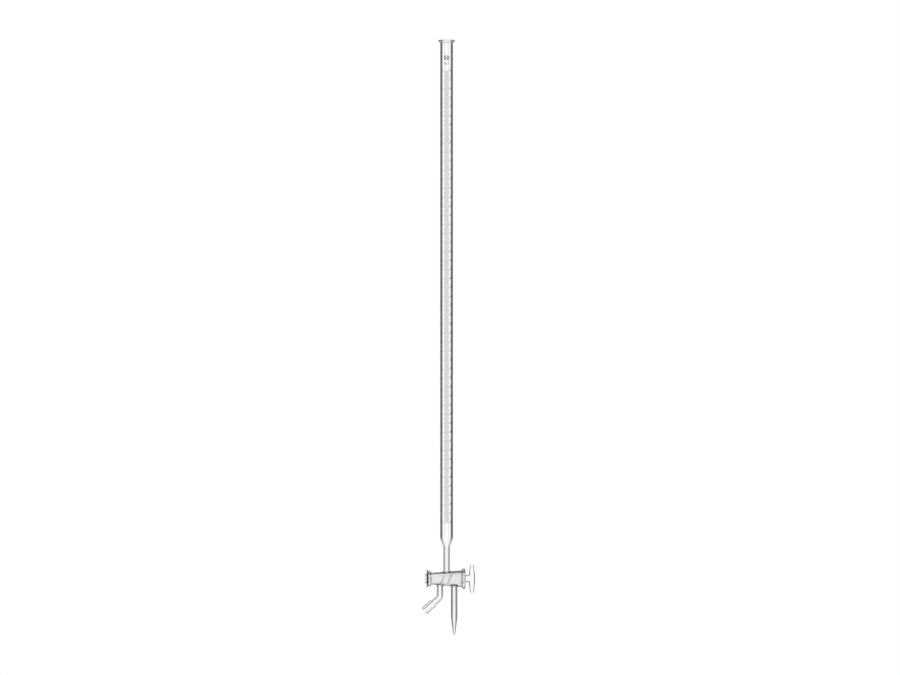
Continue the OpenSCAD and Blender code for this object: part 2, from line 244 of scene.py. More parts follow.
X, Y, Z = Vector((1, 0, 0)), Vector((0, 1, 0)), Vector((0, 0, 1))
KEY_AXIS = Vector((0, 0, KEY_Z))
RING_ANGLES = [2 * math.pi * k / SIDES for k in range(SIDES)]


def socket_r(x):
    """Radius of the ground socket at a place along the key."""
    return SOCKET_SMALL_R + (x - TAIL_FACE) * TAPER


def barrel_r(x):
    """Outside of the barrel at a place along the key."""
    tail = socket_r(BARREL_LEFT) + BARREL_TAIL_WALL
    handle = socket_r(BARREL_RIGHT) + BARREL_HANDLE_WALL
    return tail + (handle - tail) * (x - BARREL_LEFT) / BARREL_LEN


def rounded(corners):
    """An outline through corners of (across, along, radius). A radius of 0 keeps a corner sharp."""
    points = []
    for i, (across, along, radius) in enumerate(corners):
        here = Vector((across, along))
        if not radius:
            points.append(here)
            continue
        back = (Vector(corners[i - 1][:2]) - here).normalized()
        ahead = (Vector(corners[i + 1][:2]) - here).normalized()
        half = back.angle(ahead) / 2
        centre = here + (back + ahead).normalized() * radius / math.sin(half)
        start = here + back * radius / math.tan(half) - centre
        turn = math.pi - 2 * half
        if back.x * ahead.y - back.y * ahead.x > 0:
            turn = -turn
        for k in range(CORNER_STEPS + 1):
            c, s = math.cos(turn * k / CORNER_STEPS), math.sin(turn * k / CORNER_STEPS)
            points.append(centre + Vector((start.x * c - start.y * s, start.x * s + start.y * c)))
    return points


def fine(points):
    """The same outline with its long runs cut into steps, so that a melted joint bends light only near it."""
    out = [points[0]]
    for a, b in zip(points, points[1:]):
        count = max(1, math.ceil((b - a).length / FINE))
        out += [a.lerp(b, k / count) for k in range(1, count + 1)]
    return out


def circle(centre, u, v, radius):
    """A ring of points round a centre, in the plane of u and v."""
    return [centre + radius * (math.cos(a) * u + math.sin(a) * v) for a in RING_ANGLES]


def upright(x, outline):
    """Rings round the vertical axis at x, one for each (radius, height) of an outline."""
    return [circle(Vector((x, 0, z)), X, Y, r) for r, z in outline]


def along_key(outline):
    """Rings round the key's axis, one for each (radius, place) of an outline."""
    return [circle(KEY_AXIS + x * X, Y, Z, r) for r, x in outline]


def loft(name, rings, closed=False):
    """A solid through rings of points, with a flat end on the first and the last, or closed on itself."""
    bm = bmesh.new()
    loops = [[bm.verts.new(p * MM) for p in ring] for ring in rings]
    for a, b in zip(loops, loops[1:] + loops[:1] if closed else loops[1:]):
        for i in range(SIDES):
            j = (i + 1) % SIDES
            bm.faces.new((a[i], a[j], b[j], b[i]))
    if not closed:
        bm.faces.new(reversed(loops[0]))
        bm.faces.new(loops[-1])
    bmesh.ops.recalc_face_normals(bm, faces=bm.faces)
    mesh = bpy.data.meshes.new(name)
    bm.to_mesh(mesh)
    bm.free()
    return add_object(name, mesh)


def add_object(name, data):
    """Puts an object with this data into the scene."""
    made = bpy.data.objects.new(name, data)
    bpy.context.scene.collection.objects.link(made)
    return made


def bake(piece):
    """Turns what a piece's modifiers make into its plain mesh, which keeps one material at most."""
    view = bpy.context.evaluated_depsgraph_get()
    mesh = bpy.data.meshes.new_from_object(piece.evaluated_get(view))
    coats = [coat for coat in mesh.materials if coat]
    mesh.materials.clear()
    for coat in coats:
        mesh.materials.append(coat)
    for face in mesh.polygons:
        face.material_index = 0
    piece.modifiers.clear()
    piece.data = mesh


def combine(piece, tools, operation):
    """Melts tools onto a piece, or bores it with them, and removes the tools."""
    for tool in tools:
        step = piece.modifiers.new(tool.name, "BOOLEAN")
        step.object = tool
        step.operation = operation
        step.solver = "MANIFOLD"
    bake(piece)
    for tool in tools:
        bpy.data.objects.remove(tool)


def polish(piece):
    """Merges a piece's seams, turns its faces outwards and shades it smooth but for its creases."""
    bm = bmesh.new()
    bm.from_mesh(piece.data)
    bmesh.ops.remove_doubles(bm, verts=bm.verts, dist=SAME_PLACE)
    bmesh.ops.dissolve_degenerate(bm, edges=bm.edges, dist=SAME_PLACE)
    bmesh.ops.recalc_face_normals(bm, faces=bm.faces)
    for face in bm.faces:
        face.smooth = True
    for edge in bm.edges:
        edge.smooth = edge.calc_face_angle(0) < CREASE
    bm.to_mesh(piece.data)
    bm.free()
    return piece


def melted(wall, corner, foot):
    """Rings of melted glass that curve from a wall, past a corner, out to a foot."""
    rings = []
    for k in range(WELD_STEPS + 1):
        t = k / WELD_STEPS
        rings.append([(1 - t) ** 2 * w + 2 * t * (1 - t) * c + t * t * f
                      for w, c, f in zip(wall, corner, foot)])
    return rings


def weld(x, radius, up):
    """Rings of a stem's flared foot on the barrel, and on into the barrel. Up is 1 above it and -1 below."""
    def on_barrel(a, r):
        px, py = x + r * math.cos(a), r * math.sin(a)
        return Vector((px, py, KEY_Z + up * math.sqrt(barrel_r(px) ** 2 - py ** 2)))

    corner = [on_barrel(a, radius) for a in RING_ANGLES]
    wall = [p + up * WELD_RISE * Z for p in corner]
    foot = [on_barrel(a, radius + WELD_REACH) - up * WELD_TUCK * Z for a in RING_ANGLES]
    return melted(wall, corner, foot) + [circle(Vector((x, 0, KEY_Z)), X, Y, radius)]


def along_arm(outline):
    """Rings round the filling arm's bend, then one for each (radius, way past the bend) of an outline."""
    centre = Vector((ARM_X - ARM_BEND_R, 0, KEY_Z - ARM_DROP + ARM_TANGENT))
    steps = 3 * CORNER_STEPS
    rings = []
    for k in range(steps + 1):
        a = ARM_TURN * k / steps
        out = Vector((math.cos(a), 0, -math.sin(a)))
        rings.append(circle(centre + ARM_BEND_R * out, out, Y, outline[0][0]))
    way = Vector((-math.sin(ARM_TURN), 0, -math.cos(ARM_TURN)))
    return rings + [circle(centre + ARM_BEND_R * out + s * way, out, Y, r) for r, s in outline[1:]]


def body_outside():
    """The glass body without its bores: rim, tube, shoulder, barrel, arm with nozzle, outlet and jet."""
    bead = RIM_H / 2 * RIM_FULLNESS
    body = loft("glass_body", upright(0, rounded([
        (BORE_R, RIM_TOP, 0), (RIM_R, RIM_TOP, bead), (RIM_R, RIM_TOP - RIM_H, bead),
        (TUBE_R, RIM_TOP - RIM_H, RIM_ROOT), (TUBE_R, CONE_TOP, SHOULDER_UPPER_R),
        (STEM_R, CONE_FOOT, SHOULDER_LOWER_R), (STEM_R, KEY_Z + barrel_r(0) + 2 * WELD_RISE, 0)]))
        + weld(0, STEM_R, 1))

    tail_bead = TAIL_BEAD_W / 2 * BEAD_FULLNESS
    handle_bead = HANDLE_BEAD_W / 2 * BEAD_FULLNESS
    handle_r = HANDLE_BEAD_R - BEAD_TUCK
    barrel = loft("barrel", along_key(fine(rounded([
        (SOCKET_SMALL_R, TAIL_FACE, 0), (TAIL_BEAD_R, TAIL_FACE, tail_bead),
        (TAIL_BEAD_R, BARREL_LEFT, tail_bead), (barrel_r(BARREL_LEFT), BARREL_LEFT, TAIL_ROOT),
        (barrel_r(BARREL_RIGHT), BARREL_RIGHT, HANDLE_ROOT),
        (handle_r, BARREL_RIGHT, handle_bead), (handle_r, HANDLE_FACE, handle_bead),
        (socket_r(HANDLE_FACE), HANDLE_FACE, 0)]))))

    corners = [(STEM_R, 0, 0), (STEM_R, NOZZLE, EDGE_ROUND)]
    for k in range(BARB_COUNT):
        foot = NOZZLE + k * BARB_LEN
        corners += [(BARB_R, foot, EDGE_ROUND), (BARB_R, foot + BARB_LAND, EDGE_ROUND),
                    (BARB_END_R, foot + BARB_LEN, EDGE_ROUND)]
    corners.append((STEM_BORE_R, NOZZLE_END, 0))
    arm = loft("arm", weld(ARM_X, STEM_R, -1)[::-1] + along_arm(rounded(corners)))

    outlet = loft("outlet", weld(OUTLET_X, OUTLET_R, -1)[::-1] + upright(OUTLET_X, rounded([
        (OUTLET_R, KEY_Z - barrel_r(OUTLET_X) - 2 * WELD_RISE, 0), (OUTLET_R, JET_TOP, JET_BEND_R),
        (JET_R, JET_END, EDGE_ROUND), (JET_BORE_R, JET_END, 0)])))
    combine(body, [barrel, arm, outlet], "UNION")
    return body


def body_bores():
    """A cutter for all the hollows of the glass body: tube, stems, socket, filling arm and jet."""
    lift = WALL * math.tan(math.atan((TUBE_R - STEM_R) / SHOULDER_CONE_H) / 2)
    lip = RIM_TOP + MOUTH_LIP
    bore = loft("bore", upright(0, rounded([
        (BORE_R + MOUTH_ROUND, RIM_TOP + RUN_ON, 0), (BORE_R + MOUTH_ROUND, lip, 0),
        (BORE_R, lip, MOUTH_ROUND * RIM_FULLNESS), (BORE_R, CONE_TOP + lift, SHOULDER_UPPER_R - WALL),
        (STEM_BORE_R, CONE_FOOT + lift, SHOULDER_LOWER_R + WALL), (STEM_BORE_R, KEY_Z, 0)])))
    left, right = TAIL_FACE - MOUTH_LIP, HANDLE_FACE + MOUTH_LIP
    tail_r, handle_r = socket_r(left) + TAIL_FLARE, socket_r(right) + HANDLE_FLARE
    socket = loft("socket", along_key(fine(rounded([
        (tail_r, TAIL_FACE - RUN_ON, 0), (tail_r, left, 0), (socket_r(left), left, TAIL_FLARE_ROUND),
        (socket_r(right), right, HANDLE_FLARE_ROUND), (handle_r, right, 0),
        (handle_r, HANDLE_FACE + RUN_ON, 0)]))))
    arm_start = [circle(Vector((ARM_X, 0, KEY_Z)), X, Y, STEM_BORE_R)]
    arm_bore = loft("arm_bore", arm_start + along_arm([
        (STEM_BORE_R, 0), (STEM_BORE_R, NOZZLE_END - 2 * EDGE_ROUND),
        (STEM_BORE_R + 2 * EDGE_ROUND, NOZZLE_END), (STEM_BORE_R + 2 * EDGE_ROUND, NOZZLE_END + RUN_ON)]))
    jet_bore = loft("jet_bore", upright(OUTLET_X, rounded([
        (OUTLET_BORE_R, KEY_Z, 0), (OUTLET_BORE_R, JET_TOP, JET_BEND_R), (JET_BORE_R, JET_END, 0),
        (JET_BORE_R, JET_END - RUN_ON, 0)])))
    combine(socket, [bore, arm_bore, jet_bore], "UNION")
    return socket


def glass_body():
    """The melted glass body, bored from end to end."""
    body = body_outside()
    combine(body, [body_bores()], "DIFFERENCE")
    return polish(body)


def tee_section(z):
    """Near face, far face and half breadth of the tee bar at a height from the key's axis."""
    past_shank = max(0, (abs(z) - SHANK_R) / (TEE_HALF - SHANK_R))
    near = TEE_NEAR + (TEE_TIP_NEAR - TEE_NEAR) * past_shank
    fall = (math.hypot(z, TEE_APEX) - TEE_APEX) / (math.hypot(TEE_HALF, TEE_APEX) - TEE_APEX)
    far = TEE_FAR + (TEE_TIP_NEAR + TEE_TIP_T - TEE_FAR) * fall
    return near, far, (TEE_MID_W + (TEE_TIP_W - TEE_MID_W) * abs(z) / TEE_HALF) / 2


def tee_bar():
    """The handle's bar: rounded sections from tip to tip, thickest and broadest in the middle."""
    rings = []
    for k in range(-TEE_SECTIONS, TEE_SECTIONS + 1):
        z = TEE_HALF * math.sin(math.pi / (2 * TEE_SECTIONS) * k)
        near, far, breadth = tee_section(z)
        past = max(0, abs(z) - TEE_HALF + TEE_TIP_ROUND) / TEE_TIP_ROUND
        shrink = 1 - TEE_TIP_SHRINK * (1 - math.sqrt(max(0, 1 - past ** 2)))
        middle, depth = (near + far) / 2, (far - near) / 2 * shrink
        ring = []
        for a in RING_ANGLES:
            c, s = (math.copysign(abs(t) ** TEE_SQUARENESS, t) for t in (math.cos(a), math.sin(a)))
            ring.append(Vector((middle + depth * c, breadth * shrink * s, KEY_Z + z)))
        rings.append(ring)
    return loft("tee_bar", rings)


def shank_flare():
    """Rings where the handle's shank melts into the tee bar, and on into the bar."""
    def on_bar(y, z):
        near, far, breadth = tee_section(z)
        depth = (1 - min(1, abs(y) / breadth) ** (2 / TEE_SQUARENESS)) ** (TEE_SQUARENESS / 2)
        return Vector(((near + far) / 2 - (far - near) / 2 * depth, y, KEY_Z + z))

    corner = [on_bar(SHANK_BREADTH * math.cos(a), SHANK_R * math.sin(a)) for a in RING_ANGLES]
    wall = [p - SHANK_REACH * X for p in corner]
    foot = [on_bar(SHANK_BREADTH * math.cos(a), (SHANK_R + SHANK_REACH * abs(math.sin(a))) * math.sin(a))
            + WELD_TUCK * X for a in RING_ANGLES]
    core_end = circle(KEY_AXIS + (TEE_FAR - CORE_SHORTER) * X, Y, Z, SHANK_R - CORE_SLIMMER)
    return melted(wall, corner, foot) + [core_end]


def key_channel(top_x, foot_x):
    """A cutter for a straight channel through the key, from top_x above its axis to foot_x below it."""
    top = Vector((top_x, 0, KEY_Z + socket_r(top_x)))
    foot = Vector((foot_x, 0, KEY_Z - socket_r(foot_x)))
    way = (top - foot).normalized()
    return loft("channel", [circle(foot - RUN_ON * way, way.cross(Y), Y, CHANNEL_R),
                            circle(top + RUN_ON * way, way.cross(Y), Y, CHANNEL_R)])


def glass_key():
    """The key, one piece of glass: button, groove, ground cone with two channels, shank and tee bar."""
    key = loft("glass_key", along_key(fine(rounded([
        (BUTTON_FLAT_R, BUTTON_RIGHT - BUTTON_T, 0), (BUTTON_R, BUTTON_RIGHT - BUTTON_T, BUTTON_ROUND),
        (BUTTON_R, BUTTON_RIGHT, KEY_ROUND), (GROOVE_R, BUTTON_RIGHT, GROOVE_ROUND),
        (GROOVE_R, KEY_LEFT, GROOVE_ROUND), (socket_r(KEY_LEFT) - KEY_CLEARANCE, KEY_LEFT, KEY_ROUND),
        (socket_r(KEY_RIGHT) - KEY_CLEARANCE, KEY_RIGHT, KEY_ROUND), (SHANK_R, KEY_RIGHT, SHANK_ROOT),
        (SHANK_R, TEE_NEAR - SHANK_REACH - FLARE_LEAD, 0)]))) + shank_flare())
    combine(key, [tee_bar()], "UNION")
    combine(key, [key_channel(0, ARM_X), key_channel(OUTLET_X, 0)], "DIFFERENCE")
    return polish(key)


def rubber_disc():
    """The moulded disc on the key's tail: a washer with a raised rim and a raised edge round its hole."""
    hole = GROOVE_R + DISC_SEAT
    hole_edge, rim = hole + HOLE_LAND, DISC_R - RIM_LAND
    dish = DISC_LEFT + DISH_DEPTH
    return polish(loft("rubber_disc", along_key(rounded([
        (hole, DISC_LEFT, 0), (hole_edge, DISC_LEFT, DISH_ROUND), (hole_edge + DISH_SLOPE, dish, DISH_ROUND),
        (rim - DISH_SLOPE, dish, DISH_ROUND), (rim, DISC_LEFT, DISH_ROUND), (DISC_R, DISC_LEFT, DISC_ROUND),
        (DISC_R, DISC_RIGHT, DISC_ROUND), (hole, DISC_RIGHT, 0)])), closed=True))


class Nodes:
    """A node tree, with short calls that add its nodes and link them."""

    def __init__(self, tree):
        self.tree = tree

    def add(self, kind, inputs=(), **settings):
        """A new node with its inputs fed and its settings made."""
        node = self.tree.nodes.new(kind)
        for name, value in settings.items():
            setattr(node, name, value)
        for key, value in dict(inputs).items():
            self.feed(node.inputs[key], value)
        return node

    def feed(self, socket, value):
        """Links another node's output to an input, or gives the input a plain value."""
        if isinstance(value, bpy.types.NodeSocket):
            self.tree.links.new(value, socket)
        else:
            socket.default_value = value

    def math(self, operation, a, b=0.0):
        """A calculation with one or two numbers."""
        return self.add("ShaderNodeMath", {0: a, 1: b}, operation=operation).outputs[0]

    def vector(self, x=0.0, y=0.0, z=0.0):
        """A vector of three numbers."""
        return self.add("ShaderNodeCombineXYZ", {0: x, 1: y, 2: z}).outputs[0]

    def blend(self, factor, a, b):
        """A mix of two numbers."""
        return self.add("ShaderNodeMix", {0: factor, 2: a, 3: b}).outputs[0]

    def tint(self, factor, a, b):
        """A mix of two colours."""
        return self.add("ShaderNodeMix", {0: factor, 6: a, 7: b}, data_type="RGBA").outputs[2]

    def ramp(self, value, start, end, low=0.0, high=1.0):
        """A number that goes smoothly from low to high while the value goes from start to end."""
        return self.add("ShaderNodeMapRange", {
            "Value": value, "From Min": start, "From Max": end, "To Min": low, "To Max": high},
            interpolation_type="SMOOTHSTEP").outputs[0]

    def place(self):
        """Where a point lies on the object."""
        return self.add("ShaderNodeTexCoord").outputs["Object"]

    def noise(self, place, scale, detail=2.0):
        """A number that varies from place to place."""
        return self.add("ShaderNodeTexNoise", {"Vector": place, "Scale": scale, "Detail": detail}).outputs[0]


def geometry_tree(name, kinds):
    """A geometry tree with named inputs, its node calls, and its inputs' identifiers by name."""
    tree = bpy.data.node_groups.new(name, "GeometryNodeTree")
    ids = {}
    for label, kind in kinds.items():
        socket = tree.interface.new_socket(name=label, in_out="INPUT", socket_type="NodeSocket" + kind)
        ids[label] = socket.identifier
    tree.interface.new_socket(name="Geometry", in_out="OUTPUT", socket_type="NodeSocketGeometry")
    n = Nodes(tree)
    return n, n.add("NodeGroupInput").outputs, ids


def end_tree(n, geometry, material):
    """Ends a geometry tree in plain geometry with its material set."""
    plain = n.add("GeometryNodeRealizeInstances", {0: geometry}).outputs[0]
    coated = n.add("GeometryNodeSetMaterial", {"Geometry": plain, "Material": material}).outputs[0]
    n.add("NodeGroupOutput", {0: coated})


def wrap(n, geometry, radius, start_angle, rise):
    """Bends flat enamel round the tube. Its X runs round the tube, its Y upwards and its Z outwards."""
    flat = n.add("ShaderNodeSeparateXYZ", {0: n.add("GeometryNodeInputPosition").outputs[0]}).outputs
    angle = n.math("ADD", n.math("DIVIDE", flat[0], radius), start_angle)
    reach = n.math("ADD", radius, flat[2])
    place = n.vector(n.math("MULTIPLY", reach, n.math("SINE", angle)),
                     n.math("MULTIPLY", n.math("MULTIPLY", reach, n.math("COSINE", angle)), -1.0),
                     n.math("ADD", flat[1], rise))
    return n.add("GeometryNodeSetPosition", {"Geometry": geometry, "Position": place}).outputs[0]


def line_tree():
    """Lines of enamel down the tube, some of them left out."""
    n, given, ids = geometry_tree("enamel_lines", {
        "Tube Radius": "Float", "Arc": "Float", "Line Height": "Float", "Thickness": "Float",
        "Segments": "Int", "First Line": "Float", "Pitch": "Float", "Count": "Int",
        "Leave Out Every": "Int", "Enamel": "Material"})
    size = n.vector(n.math("MULTIPLY", given["Tube Radius"], given["Arc"]), given["Line Height"],
                    given["Thickness"])
    bar = n.add("GeometryNodeMeshCube", {
        "Size": size, "Vertices X": n.math("ADD", given["Segments"], 1.0)}).outputs["Mesh"]
    seated = n.add("GeometryNodeTransform", {
        "Geometry": bar, "Translation": n.vector(z=n.math("DIVIDE", given["Thickness"], 2.0))}).outputs[0]
    line = wrap(n, seated, given["Tube Radius"], 0.0, 0.0)
    places = n.add("GeometryNodeMeshLine", {
        "Count": given["Count"], "Start Location": n.vector(z=given["First Line"]),
        "Offset": n.vector(z=n.math("MULTIPLY", given["Pitch"], -1.0))}).outputs[0]
    number = n.math("ADD", n.add("GeometryNodeInputIndex").outputs[0], 1.0)
    kept = n.add("FunctionNodeCompare", {0: n.math("MODULO", number, given["Leave Out Every"]), 1: 0.5},
                 operation="GREATER_THAN").outputs[0]
    lines = n.add("GeometryNodeInstanceOnPoints", {
        "Points": places, "Selection": kept, "Instance": line}).outputs[0]
    end_tree(n, lines, given["Enamel"])
    return n.tree, ids


def number_tree():
    """A column of enamel numbers down the tube, in strokes that can be made heavier or lighter."""
    n, given, ids = geometry_tree("enamel_numbers", {
        "Tube Radius": "Float", "Thickness": "Float", "Size": "Float", "Spacing": "Float",
        "Stroke Gain": "Float", "Outline Step": "Float", "First Number": "Float", "Number Step": "Float",
        "Decimals": "Int", "Count": "Int", "First Foot": "Float", "Pitch": "Float", "Start Angle": "Float",
        "Centred": "Float", "Enamel": "Material"})
    start = n.add("GeometryNodeRepeatInput")
    end = n.add("GeometryNodeRepeatOutput")
    start.pair_with_output(end)
    n.feed(start.inputs["Iterations"], given["Count"])
    turn = start.outputs["Iteration"]
    number = n.math("ADD", given["First Number"], n.math("MULTIPLY", turn, given["Number Step"]))
    text = n.add("FunctionNodeValueToString", {"Value": number, "Decimals": given["Decimals"]}).outputs[0]
    letters = n.add("GeometryNodeStringToCurves", {
        "String": text, "Size": given["Size"], "Character Spacing": given["Spacing"]}).outputs[0]
    plain = n.add("GeometryNodeRealizeInstances", {0: letters}).outputs[0]
    outline = n.add("GeometryNodeResampleCurve", {"Curve": plain, "Length": given["Outline Step"]},
                    mode="LENGTH").outputs[0]
    ahead = n.add("GeometryNodeInputTangent").outputs[0]
    aside = n.add("ShaderNodeVectorMath", {0: ahead, 1: (0.0, 0.0, 1.0)},
                  operation="CROSS_PRODUCT").outputs[0]
    gain = n.add("ShaderNodeVectorMath", {0: aside, "Scale": given["Stroke Gain"]},
                 operation="SCALE").outputs[0]
    weighted = n.add("GeometryNodeSetPosition", {"Geometry": outline, "Offset": gain}).outputs[0]
    face = n.add("GeometryNodeFillCurve", {"Curve": weighted}).outputs[0]
    raised = n.add("GeometryNodeExtrudeMesh", {
        "Mesh": face, "Offset Scale": given["Thickness"], "Individual": False}).outputs[0]
    solid = n.add("GeometryNodeJoinGeometry")
    n.feed(solid.inputs[0], raised)
    n.feed(solid.inputs[0], n.add("GeometryNodeFlipFaces", {0: face}).outputs[0])
    box = n.add("GeometryNodeBoundBox", {0: solid.outputs[0]}).outputs
    ends = n.add("ShaderNodeVectorMath", {0: box["Min"], 1: box["Max"]}).outputs[0]
    middle = n.math("DIVIDE", n.add("ShaderNodeSeparateXYZ", {0: ends}).outputs[0], -2.0)
    shift = n.vector(x=n.math("MULTIPLY", middle, given["Centred"]))
    placed = n.add("GeometryNodeTransform", {"Geometry": solid.outputs[0], "Translation": shift})
    foot = n.math("SUBTRACT", given["First Foot"], n.math("MULTIPLY", turn, given["Pitch"]))
    bent = wrap(n, placed.outputs[0], given["Tube Radius"], given["Start Angle"], foot)
    column = n.add("GeometryNodeJoinGeometry")
    n.feed(column.inputs[0], start.outputs["Geometry"])
    n.feed(column.inputs[0], bent)
    n.feed(end.inputs["Geometry"], column.outputs[0])
    end_tree(n, end.outputs["Geometry"], given["Enamel"])
    return n.tree, ids


def from_tree(name, tree_and_ids, values):
    """A plain piece made by a geometry tree from values for its named inputs."""
    tree, ids = tree_and_ids
    piece = add_object(name, bpy.data.meshes.new(name))
    step = piece.modifiers.new(name, "NODES")
    step.node_group = tree
    for label, value in values.items():
        step[ids[label]] = value
    bake(piece)
    return polish(piece)


def enamel_marks(coat):
    """All the enamel on the tube. Yields each piece with the CAD node that it stands for, if any."""
    shared = {"Tube Radius": MARK_R * MM, "Thickness": ENAMEL_T * MM, "Enamel": coat}
    lines = line_tree()
    none_left_out = CAPACITY_ML + 2
    tenth = ML_PITCH / TENTHS
    for node, arc, drop, pitch, count, gaps in (
            ("whole_ml_lines", WHOLE_ARC, 0, ML_PITCH, CAPACITY_ML + 1, none_left_out),
            ("half_ml_lines", HALF_ARC, ML_PITCH / 2, ML_PITCH, CAPACITY_ML, none_left_out),
            ("tenth_ml_lines", TENTH_ARC, tenth, tenth, CAPACITY_ML * TENTHS, TENTHS // 2)):
        yield from_tree("enamel_" + node, lines, {
            **shared, "Arc": math.radians(arc), "Line Height": LINE_H * MM,
            "Segments": round(arc / ARC_STEP), "First Line": (ZERO_Z - drop) * MM, "Pitch": pitch * MM,
            "Count": count, "Leave Out Every": gaps}), node
    numbers = number_tree()
    for name, node, height, gain, first, decimals, count, rise, start, centred in (
            ("enamel_numbers", "scale_numbers", NUMERAL_H, NUMERAL_GAIN, 0.0, 0, CAPACITY_ML + 1,
             NUMERAL_LIFT, math.radians(NUMERAL_START), 0.0),
            ("enamel_capacity", "capacity_mark", MARK_H, MARK_GAIN, float(CAPACITY_ML), 0, 1,
             MARK_RISE, 0.0, 1.0),
            ("enamel_division", None, DIVISION_H, DIVISION_GAIN, 1 / TENTHS, 1, 1,
             DIVISION_RISE, 0.0, 1.0)):
        yield from_tree(name, numbers, {
            **shared, "Size": height / DIGIT_SHARE * MM, "Spacing": 1.0, "Stroke Gain": gain * MM,
            "Outline Step": height * MM / OUTLINE_STEPS, "First Number": first, "Number Step": 1.0,
            "Decimals": decimals, "Count": count, "First Foot": (ZERO_Z + rise) * MM,
            "Pitch": ML_PITCH * MM, "Start Angle": start, "Centred": centred}), node


def new_material(name):
    """An empty material and its node calls."""
    material = bpy.data.materials.new(name)
    material.use_nodes = True
    material.node_tree.nodes.clear()
    return material, Nodes(material.node_tree)


def ground_zone_group():
    """Masks of the ground joint, from where a point lies: its ground cone, and the walls inside the key."""
    tree = bpy.data.node_groups.new("ground_zone", "ShaderNodeTree")
    for label in ("Ground", "Inside", "Grain"):
        tree.interface.new_socket(name=label, in_out="OUTPUT", socket_type="NodeSocketFloat")
    n = Nodes(tree)
    where = n.place()
    at = n.add("ShaderNodeSeparateXYZ", {0: where}).outputs
    rise = n.math("SUBTRACT", at[2], KEY_Z * MM)
    away = n.math("SQRT", n.math("ADD", n.math("MULTIPLY", at[1], at[1]), n.math("MULTIPLY", rise, rise)))
    widening = n.math("MULTIPLY", n.math("SUBTRACT", at[0], TAIL_FACE * MM), TAPER)
    cone = n.math("ADD", SOCKET_SMALL_R * MM, widening)
    near = n.math("LESS_THAN", n.math("ABSOLUTE", n.math("SUBTRACT", away, cone)), JOINT_BAND * MM)
    deep = n.math("LESS_THAN", away, n.math("SUBTRACT", cone, JOINT_BAND * MM))
    left = n.math("GREATER_THAN", at[0], (KEY_LEFT + ZONE_INSET) * MM)
    right = n.math("LESS_THAN", at[0], (KEY_RIGHT - ZONE_INSET) * MM)
    along = n.math("MULTIPLY", left, right)
    n.add("NodeGroupOutput", {
        "Ground": n.math("MULTIPLY", near, along), "Inside": n.math("MULTIPLY", deep, along),
        "Grain": n.noise(where, GROUND_GRAIN)})
    return tree


def glass(name, zone_tree, frost, edge_shade_start, edge_shade_end):
    """Clear glass, faintly lined from being drawn, with painted shade that darkens its edges, frosted pale
    grey in the ground zone.
    """
    material, n = new_material(name)
    zone = n.add("ShaderNodeGroup", node_tree=zone_tree).outputs
    drawn = n.add("ShaderNodeMapping", {"Vector": n.place(), "Scale": DRAWN_LINES}).outputs[0]
    waves = n.noise(drawn, scale=1.0, detail=1.0)
    frosted = n.math("MAXIMUM", zone["Ground"], zone["Inside"])
    grain = n.math("MULTIPLY", zone["Grain"], FROST_GRAIN)
    rough = n.math("MULTIPLY", frosted, n.math("ADD", frost, grain))
    # Painted shade: outside the ground zone the colour runs to black where the surface turns edge-on, drawing
    # dark edges on the glass
    aslant = n.add("ShaderNodeLayerWeight", {"Blend": 0.5}).outputs["Facing"]
    edge = n.ramp(aslant, edge_shade_start, edge_shade_end)
    clear = n.tint(zone["Ground"], WHITE, (0.945, 0.945, 0.958, 1))
    dark = n.math("MULTIPLY", edge, n.math("SUBTRACT", 1.0, frosted))
    colour = n.tint(dark, clear, BLACK)
    bump = n.add("ShaderNodeBump", {"Height": waves, "Strength": 1.0, "Distance": DRAWN_DEPTH}).outputs[0]
    shader = n.add("ShaderNodeBsdfPrincipled", {
        "Base Color": colour, "Roughness": rough, "IOR": 1.474, "Transmission Weight": 1.0, "Normal": bump})
    lit = n.add("ShaderNodeBsdfTransparent", {"Color": (0.92, 0.93, 0.93, 1)})
    shadow = n.add("ShaderNodeLightPath").outputs["Is Shadow Ray"]
    surface = n.add("ShaderNodeMixShader", {0: shadow, 1: shader.outputs[0], 2: lit.outputs[0]})
    depth = n.add("ShaderNodeVolumeAbsorption", {"Color": (0.78, 0.82, 0.81, 1), "Density": 30.0})
    n.add("ShaderNodeOutputMaterial", {"Surface": surface.outputs[0], "Volume": depth.outputs[0]})
    return material


def coated(name, dark, pale, patch_scale, rough, grain_scale, grain_depth):
    """A dark finish whose shade, gloss and surface vary a little."""
    material, n = new_material(name)
    where = n.place()
    patches = n.noise(where, patch_scale)
    grain = n.noise(where, grain_scale, detail=4.0)
    bump = n.add("ShaderNodeBump", {"Height": grain, "Strength": 0.4, "Distance": grain_depth}).outputs[0]
    gloss = n.add("ShaderNodeMapRange", {
        "Value": grain, "To Min": rough[0], "To Max": rough[1]}).outputs[0]
    shader = n.add("ShaderNodeBsdfPrincipled", {
        "Base Color": n.tint(patches, dark, pale), "Roughness": gloss, "Normal": bump})
    n.add("ShaderNodeOutputMaterial", {0: shader.outputs[0]})
    return material


